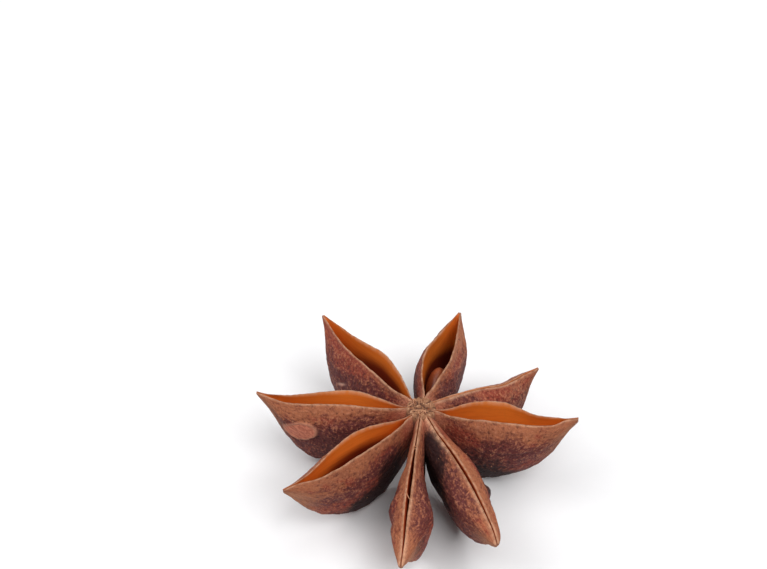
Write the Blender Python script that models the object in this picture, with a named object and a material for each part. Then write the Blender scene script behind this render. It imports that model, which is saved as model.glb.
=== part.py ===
"""Star anise pod: eight boat-shaped follicles grown onto one short column, and the one seed left in them.

Tables are in millimetres and degrees, and the meshes are made in metres.
Each follicle is drawn in its own frame: x runs out from the column's axis along the suture, y to its left,
z up, with z = 0 at the top of the column. It is then turned to its heading, measured from +X towards +Y.
The finished pod rests on its keels at z = 0, with the middle of its bounding box on the Z axis.
"""

import math
from dataclasses import dataclass

import bmesh
import bpy
from mathutils import Matrix, Vector

MM = 0.001

# Driving dimensions.
STAND = 12.05  # top of the column above the surface that the keels rest on
ROOT = 0.8  # where a follicle starts inside the column, from the axis
LIP = 0.40  # thickness of a lip
LIP_SHARE = 0.45  # the most of a section's half width that a lip may take
GROOVE = 0.10  # width of the suture where the lips are shut
GROOVE_DEPTH = 0.15
FLANK_POWER = 1.25  # how sharply the flanks run together into the keel
WALL_POWER = 0.7  # how round the floor of the seed cavity is
WALL_BULGE = 0.35  # how far the cavity widens below its lips, as a share of the gape
DEEPEST_HOLLOW = 0.8  # the deepest that the cavity may be, as a share of the section's depth
OPEN_ENOUGH = 0.5  # half gape from which the cavity has its full depth
BEYOND_LIP = 0.1  # the least that a flank stands out past its lip
LIP_SWAY = 1.8  # depth over which the lips' own sway fades into the body's bow
DROP_POWER = 1.5  # how late along its length a follicle drops
HOOK_FROM = 0.62  # where a hooked tip starts to turn up, as a share of the length
COLUMN_RADIUS = 2.0
COLUMN_DEPTH = 6.9
STALK_RADIUS = 1.2
STALK_DEPTH = 7.7
HUB_RADIUS = 1.5
HUB_DIP = 0.25

# Fineness of the solids.
STATIONS = 20
UPPER_SPANS = 4
LOWER_SPANS = 4
WALL_SPANS = 4
COLUMN_SIDES = 20

# Depth below the lips along a follicle, as a share of its greatest depth, from the root (0) to the tip (1).
KEELS = {
    "swept": [(0, 0.50), (0.12, 0.78), (0.26, 0.98), (0.38, 1), (0.55, 0.92), (0.70, 0.76), (0.82, 0.54),
              (0.90, 0.33), (0.95, 0.18), (1, 0.06)],
    "curved": [(0, 0.50), (0.12, 0.78), (0.26, 0.98), (0.38, 1), (0.55, 0.875), (0.70, 0.73), (0.82, 0.55),
               (0.90, 0.31), (0.95, 0.15), (1, 0.05)],
    "full": [(0, 0.50), (0.12, 0.70), (0.28, 0.92), (0.46, 1), (0.62, 0.94), (0.74, 0.79), (0.83, 0.55),
             (0.89, 0.31), (0.94, 0.16), (1, 0.03)],
    "blunt": [(0, 0.50), (0.12, 0.72), (0.28, 0.94), (0.44, 1), (0.57, 0.91), (0.69, 0.70), (0.79, 0.46),
              (0.87, 0.27), (0.94, 0.13), (1, 0.04)],
    "slim": [(0, 0.50), (0.12, 0.72), (0.28, 0.94), (0.42, 1), (0.56, 0.90), (0.70, 0.68), (0.82, 0.44),
             (0.91, 0.24), (0.97, 0.12), (1, 0.05)],
}

# Width along a follicle, as a share of its greatest width.
BODIES = {
    "swept": [(0, 0.30), (0.12, 0.46), (0.28, 0.80), (0.45, 1), (0.60, 0.97), (0.74, 0.78), (0.86, 0.46),
              (0.94, 0.22), (1, 0.07)],
    "full": [(0, 0.30), (0.12, 0.46), (0.28, 0.78), (0.46, 1), (0.62, 0.98), (0.76, 0.80), (0.87, 0.46),
             (0.94, 0.22), (1, 0.07)],
    "blunt": [(0, 0.30), (0.12, 0.34), (0.30, 0.47), (0.44, 0.77), (0.56, 0.98), (0.63, 1), (0.73, 0.84),
              (0.82, 0.64), (0.90, 0.44), (0.96, 0.25), (1, 0.12)],
    "slim": [(0, 0.34), (0.12, 0.58), (0.20, 0.76), (0.30, 0.90), (0.42, 1), (0.55, 0.98), (0.68, 0.84),
             (0.80, 0.64), (0.90, 0.44), (0.96, 0.30), (1, 0.14)],
}
BODIES["curved"] = BODIES["swept"]


@dataclass(frozen=True)
class Lump:
    """A swelling on a follicle's flank. Side is 1 on the left and -1 on the right."""

    side: int
    out: float
    below: float
    radius: float
    height: float


@dataclass(frozen=True)
class Follicle:
    """One carpel, split along the suture on its top."""

    name: str
    outline: str
    heading: float
    reach: float  # axis to the tip of the beak
    depth: float  # lips to keel at the deepest place
    width: float  # across both flanks at the widest place
    drop: float  # tip below the top of the column
    gape: tuple  # half the opening between the lips, against the share of the length
    sway: tuple  # the middle of the opening, to the left of the straight line to the tip
    hook: float = 0.0  # sag of the suture before the tip turns up again
    bow: tuple = ((0, 0.0), (1, 0.0))  # the middle of the body below the lips, to the left of the same line
    lean: float = 0.0  # roll about the suture, which carries the keel to the left
    shoulder: float = 0.36  # height of the widest place of a section below the lips, as a share of its depth
    hollow: float = 0.62  # depth of the seed cavity, as a share of the depth
    lumps: tuple = ()


FOLLICLES = (
    Follicle(
        "a", "full", 172.5, 19.7, 11.2, 4.8, 0.8, hook=0.8, lean=1,
        gape=((0, 0.05), (0.06, 0.05), (0.15, 0.39), (0.25, 0.76), (0.35, 1.02), (0.43, 1.07), (0.50, 0.99),
              (0.60, 0.88), (0.70, 0.70), (0.80, 0.52), (0.90, 0.24), (0.96, 0.06), (1, 0.03)),
        sway=((0, 0.28), (0.10, 0.34), (0.20, 0.10), (0.30, -0.27), (0.42, -0.52), (0.55, -0.33),
              (0.70, 0.12), (0.80, 0.36), (0.90, 0.26), (1, 0.0))),
    Follicle(
        "b", "swept", 216.5, 19.5, 11.95, 5.0, 1.2, bow=((0, 0.0), (0.5, 0.15), (1, 0.0)),
        gape=((0, 0.05), (0.06, 0.05), (0.15, 0.43), (0.25, 0.97), (0.35, 1.33), (0.45, 1.42), (0.60, 1.24),
              (0.70, 0.92), (0.80, 0.56), (0.88, 0.18), (0.93, 0.05), (1, 0.04)),
        sway=((0, 0.25), (0.14, 0.46), (0.25, 0.22), (0.38, -0.05), (0.50, 0.05), (0.65, 0.40), (0.78, 0.68),
              (0.90, 0.36), (1, 0.10))),
    Follicle(
        "c", "blunt", 264.0, 21.2, 11.7, 4.6, 2.7, lean=5, shoulder=0.24,
        bow=((0, 0.05), (0.35, -0.20), (0.55, 0.10), (0.75, 0.50), (1, 0.20)),
        gape=((0, 0.05), (0.15, 0.05), (0.30, 0.12), (0.45, 0.22), (0.55, 0.22), (0.70, 0.16), (0.85, 0.09),
              (0.94, 0.05), (1, 0.04)),
        sway=((0, 0.05), (0.20, 0.02), (0.45, -0.02), (0.70, 0.02), (0.90, 0.20), (1, 0.22))),
    Follicle(
        "d", "slim", 296.5, 19.6, 10.7, 4.6, 3.1, lean=0.5, shoulder=0.24,
        bow=((0, 0.0), (0.20, 0.0), (0.36, 0.62), (0.55, 0.55), (0.75, 0.1), (1, 0.1)),
        gape=((0, 0.05), (0.15, 0.05), (0.30, 0.12), (0.55, 0.15), (0.75, 0.10), (0.90, 0.05), (1, 0.04)),
        sway=((0, 0.05), (0.15, 0.10), (0.30, 0.40), (0.50, 0.73), (0.60, 0.80), (0.70, 0.76), (0.80, 0.68),
              (0.88, 0.58), (0.95, 0.42), (1, 0.18)),
        lumps=(Lump(1, 10.8, 4.6, 1.25, 1.2),)),
    Follicle(
        "e", "curved", 355.5, 18.5, 11.9, 5.2, 0.0, hook=1.4, bow=((0, 0.0), (0.5, 0.1), (1, 0.0)),
        gape=((0, 0.05), (0.06, 0.05), (0.15, 0.50), (0.25, 1.05), (0.33, 1.33), (0.45, 1.44), (0.50, 1.44),
              (0.60, 1.15), (0.70, 0.81), (0.80, 0.61), (0.86, 0.46), (0.91, 0.12), (0.94, 0.05), (1, 0.04)),
        sway=((0, -0.1), (0.13, -0.38), (0.25, 0.05), (0.40, 0.57), (0.50, 0.60), (0.60, 0.38), (0.72, -0.02),
              (0.83, -0.06), (0.92, 0.18), (1, 0.20))),
    Follicle(
        "f", "full", 30.0, 16.2, 10.8, 4.4, 2.0, hook=0.8,
        bow=((0, 0.0), (0.5, -0.5), (1, 0.0)),
        gape=((0, 0.05), (1, 0.05)),
        sway=((0, 0.05), (0.30, -0.07), (0.45, -0.16), (0.65, -0.60), (0.75, -0.42), (0.90, 0.03),
              (1, 0.05))),
    Follicle(
        "g", "full", 74.5, 17.35, 11.7, 5.5, 1.8, lean=-2, hollow=0.70,
        bow=((0, 0.0), (0.5, 0.65), (1, 0.0)),
        gape=((0, 0.05), (0.06, 0.05), (0.15, 0.48), (0.25, 0.92), (0.35, 1.30), (0.47, 1.53), (0.55, 1.49),
              (0.65, 1.24), (0.75, 0.87), (0.85, 0.55), (0.95, 0.22), (1, 0.04)),
        sway=((0, 0.0), (0.15, 0.13), (0.30, 0.36), (0.45, 0.40), (0.55, 0.40), (0.70, 0.27), (0.80, 0.23),
              (0.90, 0.18), (1, 0.11))),
    Follicle(
        "h", "full", 128.0, 19.8, 11.8, 5.2, 1.5, lean=7,
        gape=((0, 0.05), (0.04, 0.05), (0.15, 0.66), (0.25, 1.09), (0.35, 1.30), (0.45, 1.51), (0.55, 1.38),
              (0.70, 0.95), (0.85, 0.53), (0.95, 0.20), (1, 0.04)),
        sway=((0, 0.15), (0.15, 0.13), (0.30, -0.18), (0.45, -0.37), (0.60, -0.03), (0.72, 0.17),
              (0.85, 0.07), (1, -0.08))),
)

# The seed lies on edge in follicle g.
SEED_FOLLICLE = "g"
SEED_OUT = 7.4
SEED_ASIDE = -0.12  # to the left of the body's middle
SEED_BELOW = 4.9
SEED_LENGTH = 5.4
SEED_HEIGHT = 4.2
SEED_THICKNESS = 2.2
SEED_TAPER = 0.12  # how much thicker than its middle the outer end is
SEED_PITCH = -4.0


def clear_scene():
    """Remove every object that the start-up scene holds."""
    for thing in list(bpy.data.objects):
        bpy.data.objects.remove(thing)


def make_material(name, colour, roughness):
    """A Principled material of one colour."""
    material = bpy.data.materials.new(name)
    material.use_nodes = True
    shader = material.node_tree.nodes["Principled BSDF"]
    shader.inputs["Base Color"].default_value = (*colour, 1.0)
    shader.inputs["Roughness"].default_value = roughness
    shader.inputs["Metallic"].default_value = 0.0
    return material


def curve_slopes(points):
    """Slopes of a smooth curve through the points that never overshoots them."""
    rises = [(b[1] - a[1]) / (b[0] - a[0]) for a, b in zip(points, points[1:])]
    slopes = [rises[0]]
    for before, after in zip(rises, rises[1:]):
        slopes.append(0.0 if before * after <= 0 else 2 * before * after / (before + after))
    slopes.append(rises[-1])
    return slopes


def curve_value(points, at):
    """Height of the smooth curve through the points at one place."""
    slopes = curve_slopes(points)
    span = max(i for i in range(len(points) - 1) if points[i][0] <= at)
    (x0, y0), (x1, y1) = points[span], points[span + 1]
    length = x1 - x0
    t = (at - x0) / length
    ease = t * t * (3 - 2 * t)
    start = t * (1 - t) ** 2 * length * slopes[span]
    end = -t * t * (1 - t) * length * slopes[span + 1]
    return y0 + (y1 - y0) * ease + start + end


def half_gape(follicle, along):
    """Half the width of the opening between the lips."""
    return max(GROOVE / 2, curve_value(follicle.gape, along))


def lip_thickness(along):
    """Thickness of a lip, which thins out towards both ends."""
    return LIP * min(1.0, 0.3 + 0.9 * math.sin(math.pi * min(1.1 * along, 0.97)) ** 0.7)


def flank(follicle, along, depth, gape):
    """Points (across, up) down one flank, from the lip's outer edge to the keel."""
    half = follicle.width / 2 * curve_value(BODIES[follicle.outline], along)
    edge = gape + min(lip_thickness(along), LIP_SHARE * half)
    half = max(half, edge + BEYOND_LIP * min(1.0, 6 * (1 - along) + 0.2))
    points = []
    for i in range(UPPER_SPANS):
        turn = math.pi / 2 * i / UPPER_SPANS
        points.append((edge + (half - edge) * math.sin(turn), -depth * follicle.shoulder * i / UPPER_SPANS))
    for i in range(LOWER_SPANS + 1):
        turn = math.pi / 2 * i / LOWER_SPANS
        across = half * max(0.0, math.cos(turn)) ** FLANK_POWER
        below = follicle.shoulder + (1 - follicle.shoulder) * math.sin(turn) ** FLANK_POWER
        points.append((across, -depth * below))
    return points


def wall(follicle, depth, gape):
    """Points (across, up) down one inner wall of the seed cavity, from the lip to its floor."""
    open_share = min(1.0, gape / OPEN_ENOUGH)
    floor = max(GROOVE_DEPTH, min(DEEPEST_HOLLOW, follicle.hollow * open_share) * depth)
    points = []
    for i in range(WALL_SPANS + 1):
        share = i / WALL_SPANS
        turn = math.pi / 2 * share
        bulge = 1 + WALL_BULGE * math.sin(math.pi * share)
        across = gape * bulge * max(0.0, math.cos(turn)) ** WALL_POWER
        points.append((across, -floor * math.sin(turn)))
    return points


def swell(follicle, side, out, point):
    """Push a flank's point out where a lump lies."""
    across, up = point
    for lump in follicle.lumps:
        if lump.side == side:
            away = ((out - lump.out) ** 2 + (up + lump.below) ** 2) / lump.radius**2
            across += lump.height * math.exp(-away)
    return across, up


def middle_line(follicle, along, up):
    """How far left the middle of a section lies: the lips' own sway on top, the body's bow further down."""
    bow = curve_value(follicle.bow, along)
    return bow + (curve_value(follicle.sway, along) - bow) * math.exp(up / LIP_SWAY)


def section(follicle, along):
    """The closed ring of points across a follicle at one place, in its own frame."""
    out = ROOT + (follicle.reach - ROOT) * along
    depth = follicle.depth * curve_value(KEELS[follicle.outline], along)
    gape = half_gape(follicle, along)
    outside = flank(follicle, along, depth, gape)
    inside = wall(follicle, depth, gape)
    right = [(-y, z) for y, z in (swell(follicle, -1, out, p) for p in outside)]
    left = [swell(follicle, 1, out, p) for p in outside[:-1]]
    ring = right + left[::-1] + inside + [(-y, z) for y, z in inside[:-1]][::-1]

    turned_up = max(0.0, (along - HOOK_FROM) / (1 - HOOK_FROM)) ** 2
    lips = -follicle.drop * along**DROP_POWER + follicle.hook * (turned_up - along**DROP_POWER)
    cos, sin = math.cos(math.radians(follicle.lean)), math.sin(math.radians(follicle.lean))
    points = []
    for y, z in ring:
        middle = middle_line(follicle, along, z)
        points.append(Vector((out, middle + y * cos - z * sin, lips + y * sin + z * cos)))
    return points


def follicle_rings(follicle):
    """Every section of a follicle, turned to its heading, with the keel flattened where it rests."""
    turn = Matrix.Rotation(math.radians(follicle.heading), 3, "Z")
    rings = []
    for i in range(STATIONS):
        ring = [turn @ p for p in section(follicle, i / (STATIONS - 1))]
        rings.append([Vector((p.x, p.y, max(p.z, -STAND))) for p in ring])
    return rings


def loft(rings):
    """A closed mesh through rings that have the same number of points."""
    bm = bmesh.new()
    loops = [[bm.verts.new(p * MM) for p in ring] for ring in rings]
    for low, high in zip(loops, loops[1:]):
        for i in range(len(low)):
            j = (i + 1) % len(low)
            bm.faces.new((low[i], low[j], high[j], high[i]))
    bm.faces.new(loops[0][::-1])
    bm.faces.new(loops[-1])
    bmesh.ops.recalc_face_normals(bm, faces=bm.faces)
    return bm


def mesh_object(name, bm, material=None):
    """Turn a bmesh into a smooth-shaded object."""
    mesh = bpy.data.meshes.new(name)
    bm.to_mesh(mesh)
    bm.free()
    mesh.shade_smooth()
    mesh.set_sharp_from_angle(angle=math.radians(50))
    if material:
        mesh.materials.append(material)
    return bpy.data.objects.new(name, mesh)


def column_mesh():
    """The central column, turned about Z: a dished hub on top and the stalk's scar below."""
    profile = [
        (0.6 * HUB_RADIUS, -HUB_DIP),
        (HUB_RADIUS, 0.0),
        (0.9 * COLUMN_RADIUS, -0.5),
        (COLUMN_RADIUS, -1.4),
        (COLUMN_RADIUS, 0.8 * -COLUMN_DEPTH),
        (0.8 * COLUMN_RADIUS, -COLUMN_DEPTH),
        (STALK_RADIUS, -COLUMN_DEPTH - 0.1),
        (0.9 * STALK_RADIUS, -STALK_DEPTH),
    ]
    rings = []
    for radius, up in profile:
        turns = [2 * math.pi * i / COLUMN_SIDES for i in range(COLUMN_SIDES)]
        rings.append([Vector((radius * math.cos(t), radius * math.sin(t), up)) for t in turns])
    return loft(rings)


def seed_mesh():
    """A flattened egg, narrower towards the column, where it hung."""
    bm = bmesh.new()
    bmesh.ops.create_uvsphere(bm, u_segments=16, v_segments=12, radius=1.0)
    for vert in bm.verts:
        x, y, z = vert.co
        taper = 1 + SEED_TAPER * x
        size = Vector((SEED_LENGTH * x, SEED_THICKNESS * taper * y, SEED_HEIGHT * taper * z))
        vert.co = size * MM / 2
    return bm


def seed_place():
    """Where the seed lies, in the frame of the column's top."""
    home = next(f for f in FOLLICLES if f.name == SEED_FOLLICLE)
    turn = Matrix.Rotation(math.radians(home.heading), 4, "Z")
    tilt = Matrix.Rotation(math.radians(-SEED_PITCH), 4, "Y")
    middle = middle_line(home, SEED_OUT / home.reach, -SEED_BELOW)
    across = middle + SEED_ASIDE + math.sin(math.radians(home.lean)) * SEED_BELOW
    return turn @ Matrix.Translation(Vector((SEED_OUT, across, -SEED_BELOW)) * MM) @ tilt


def main():
    clear_scene()
    scene = bpy.context.scene.collection
    husk_material = make_material("husk", (0.150, 0.055, 0.030), 0.75)
    seed_material = make_material("seed", (0.150, 0.045, 0.020), 0.35)

    rings = {f.name: follicle_rings(f) for f in FOLLICLES}
    points = [p for follicle in rings.values() for ring in follicle for p in ring]
    middle_x = (min(p.x for p in points) + max(p.x for p in points)) / 2
    middle_y = (min(p.y for p in points) + max(p.y for p in points)) / 2
    pod = bpy.data.objects.new("pod", None)
    pod.location = Vector((-middle_x, -middle_y, STAND)) * MM
    scene.objects.link(pod)

    # The follicles stay as guides, and the husk is their union with the column.
    guides = bpy.data.collections.new("follicles")
    scene.children.link(guides)
    for name, sections in rings.items():
        guide = mesh_object("follicle_" + name, loft(sections))
        guide.parent = pod
        guide.hide_render = True
        guide.display_type = "WIRE"
        guides.objects.link(guide)

    husk = mesh_object("husk", column_mesh(), husk_material)
    husk.parent = pod
    scene.objects.link(husk)
    union = husk.modifiers.new("grow_together", "BOOLEAN")
    union.operation = "UNION"
    union.operand_type = "COLLECTION"
    union.collection = guides
    union.solver = "EXACT"

    seed = mesh_object("seed", seed_mesh(), seed_material)
    seed.parent = pod
    seed.matrix_local = seed_place()
    scene.objects.link(seed)


main()
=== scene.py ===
"""Looks for a star anise pod: wrinkled follicles, their fibrous hub, and the seed left in one of them.

The file is laid out as an add-on and is run as a script. Each operator makes one piece or one group of like
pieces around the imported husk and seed, which stay as they are and are only hidden.
Tables are in millimetres and degrees, and the meshes are made in metres.
Each follicle is drawn in its own frame: x runs out from the column's axis along the suture, y to its left,
z up, with z = 0 at the top of the column. It is then turned to its heading, measured from +X towards +Y.
"""

import math
from dataclasses import dataclass

import bpy
import numpy as np
from mathutils import Matrix, Vector


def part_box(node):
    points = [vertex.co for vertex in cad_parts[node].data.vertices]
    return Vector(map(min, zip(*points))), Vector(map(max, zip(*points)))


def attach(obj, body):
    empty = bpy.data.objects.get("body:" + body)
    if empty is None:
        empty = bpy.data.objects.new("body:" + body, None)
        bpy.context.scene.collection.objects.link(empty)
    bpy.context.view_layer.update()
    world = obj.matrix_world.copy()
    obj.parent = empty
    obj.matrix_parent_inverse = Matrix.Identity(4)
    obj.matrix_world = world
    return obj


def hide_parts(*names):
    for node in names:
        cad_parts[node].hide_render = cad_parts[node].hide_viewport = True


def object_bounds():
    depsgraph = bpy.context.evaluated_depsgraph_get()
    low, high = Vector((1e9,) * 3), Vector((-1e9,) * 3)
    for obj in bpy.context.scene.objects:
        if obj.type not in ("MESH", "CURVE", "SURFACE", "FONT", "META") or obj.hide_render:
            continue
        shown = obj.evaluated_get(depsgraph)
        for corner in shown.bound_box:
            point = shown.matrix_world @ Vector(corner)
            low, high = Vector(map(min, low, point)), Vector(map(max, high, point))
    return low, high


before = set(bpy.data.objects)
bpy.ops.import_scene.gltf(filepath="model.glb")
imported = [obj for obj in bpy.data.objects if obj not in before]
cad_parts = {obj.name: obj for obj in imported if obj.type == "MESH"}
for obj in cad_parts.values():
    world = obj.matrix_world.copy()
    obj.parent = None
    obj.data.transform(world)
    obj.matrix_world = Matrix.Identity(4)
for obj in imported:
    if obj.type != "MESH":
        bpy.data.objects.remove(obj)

bl_info = {
    "name": "Star anise pod",
    "version": (1, 0, 0),
    "blender": (4, 5, 0),
    "location": "3D View > Sidebar > Pod",
    "description": "Makes a dried star anise pod around its packed solids",
    "category": "Add Mesh",
}

CAD_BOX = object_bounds()
HUSK_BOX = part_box("husk")
MM = 0.001

# Sizes that the follicles share.
STAND = 12.05  # top of the column above the surface that the keels rest on
ROOT = 0.8  # where a follicle starts inside the column, from the axis
LIP = 0.16  # thickness of a lip
LIP_SHARE = 0.45  # the most of a section's half width that a lip may take
GROOVE = 0.10  # width of the suture where the lips are shut
GROOVE_DEPTH = 0.15
UPPER_SHARE = 1 / 3  # the share of a flank's points that lie above its widest place
FLANK_POWER = 1.25  # how sharply the flanks run together into the keel
WALL_POWER = 1.1  # how sharply the walls of the seed cavity run together
LIP_SWAY = 1.8  # depth over which the lips' own sway fades into the body's bend
DEEPEST_HOLLOW = 0.8  # the deepest that the cavity may be, as a share of the section's depth
OPEN_ENOUGH = 0.5  # half gape from which the cavity has its full depth
SKIN_SPAN = 9.0  # length given to a flank from keel to lip in the skin's own coordinates
FAR_OFF = 9.0  # scar distance given to points that have no scar near them

# Fineness of the meshes.
STATIONS = 200
FLANK_POINTS = 84
CREST_POINTS = 6
WALL_POINTS = 18

# Depth below the lips along a follicle, as a share of its greatest depth, from the root (0) to the tip (1).
KEELS = {
    "swept": [(0, 0.50), (0.12, 0.78), (0.26, 0.98), (0.38, 1), (0.55, 0.92), (0.70, 0.76), (0.82, 0.54),
              (0.90, 0.33), (0.95, 0.18), (1, 0.06)],
    "curved": [(0, 0.50), (0.12, 0.78), (0.26, 0.98), (0.38, 1), (0.55, 0.875), (0.70, 0.73), (0.82, 0.55),
               (0.90, 0.31), (0.95, 0.15), (1, 0.05)],
    "full": [(0, 0.50), (0.12, 0.70), (0.28, 0.92), (0.46, 1), (0.62, 0.94), (0.74, 0.79), (0.83, 0.55),
             (0.89, 0.31), (0.94, 0.16), (1, 0.03)],
    "blunt": [(0, 0.50), (0.12, 0.72), (0.28, 0.94), (0.44, 1), (0.57, 0.91), (0.69, 0.70), (0.79, 0.46),
              (0.87, 0.27), (0.94, 0.13), (1, 0.04)],
    "slim": [(0, 0.50), (0.12, 0.72), (0.28, 0.94), (0.42, 1), (0.56, 0.90), (0.70, 0.68), (0.82, 0.44),
             (0.91, 0.24), (0.97, 0.12), (1, 0.05)],
}

# Width along a follicle, as a share of its greatest width.
BODIES = {
    "swept": [(0, 0.30), (0.12, 0.46), (0.28, 0.80), (0.45, 1), (0.60, 0.97), (0.74, 0.78), (0.86, 0.46),
              (0.94, 0.22), (1, 0.07)],
    "full": [(0, 0.30), (0.12, 0.46), (0.28, 0.78), (0.46, 1), (0.62, 0.98), (0.76, 0.80), (0.87, 0.46),
             (0.94, 0.22), (1, 0.07)],
    "blunt": [(0, 0.30), (0.12, 0.34), (0.30, 0.47), (0.44, 0.77), (0.56, 0.98), (0.63, 1), (0.73, 0.84),
              (0.82, 0.64), (0.90, 0.44), (0.96, 0.25), (1, 0.12)],
    "slim": [(0, 0.34), (0.12, 0.58), (0.20, 0.76), (0.30, 0.90), (0.42, 1), (0.55, 0.98), (0.68, 0.84),
             (0.80, 0.64), (0.90, 0.44), (0.96, 0.30), (1, 0.14)],
}
BODIES["curved"] = BODIES["swept"]


@dataclass(frozen=True)
class Mark:
    """A place on a flank: a lump, a nick, the scar, or a patch of plum, red, painted shadow, tan or pale
    net.

    A painted shade lies on the cavity's wall instead. A patch fades away smoothly past its length and
    height.
    """

    kind: str
    side: int  # 1 on the left and -1 on the right
    out: float  # from the axis
    below: float  # below the lips
    length: float
    height: float
    amount: float
    tilt: float = 0.0

    def shares(self, fields):
        """How far each point lies along and across the mark, as shares of its length and height."""
        x = fields["out"] - self.out
        y = fields["below"] - self.below
        cos, sin = math.cos(math.radians(self.tilt)), math.sin(math.radians(self.tilt))
        return (x * cos + y * sin) / self.length, (y * cos - x * sin) / self.height


def marked(**tables):
    """The marks of a follicle: for each kind, rows of side, out, below, length, height, amount and tilt."""
    return tuple(Mark(kind, *row) for kind, rows in tables.items() for row in rows)


@dataclass(frozen=True)
class Follicle:
    """One carpel, split along the suture on its top."""

    name: str
    outline: str  # its row in KEELS and BODIES
    heading: float
    reach: float  # axis to the tip of the beak
    depth: float  # lips to keel at the deepest place
    width: float  # across both flanks at the widest place
    drop: float  # tip below the top of the column
    gape: tuple  # half the opening between the lips, against the share of the length
    sway: tuple  # the middle of the opening, to the left of the straight line to the tip
    hook: float = 0.0  # sag of the suture before the tip turns up again
    bow: tuple = ((0, 0.0), (1, 0.0))  # the middle of the body below the lips, to the left of the same line
    lean: float = 0.0  # roll about the suture, which carries the keel to the left
    shoulder: float = 0.36  # depth of a section's widest place below the lips, as a share of its depth
    hollow: float = 0.62  # depth of the seed cavity, as the same share
    rough: float = 1.0  # how deeply the skin is wrinkled
    plum: float = 1.0  # how dark and purple the skin is, partly its own tone and partly painted light and shade for how the follicle lies in the light
    lining: float = 1.0  # how bright the lining is; below 1 it is dulled by painted shade, for a cavity that lies in shade
    slit: float = 0.3  # how strong the painted shade inside the suture is where it is narrow
    marks: tuple = ()


# In the marks, the darkest patches are painted shadow where the follicles shade each other and the floor,
# with d's knob also dark of its own; shade patches are painted shade on a cavity's wall; plum is partly
# painted shade and tan partly painted light.
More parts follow.
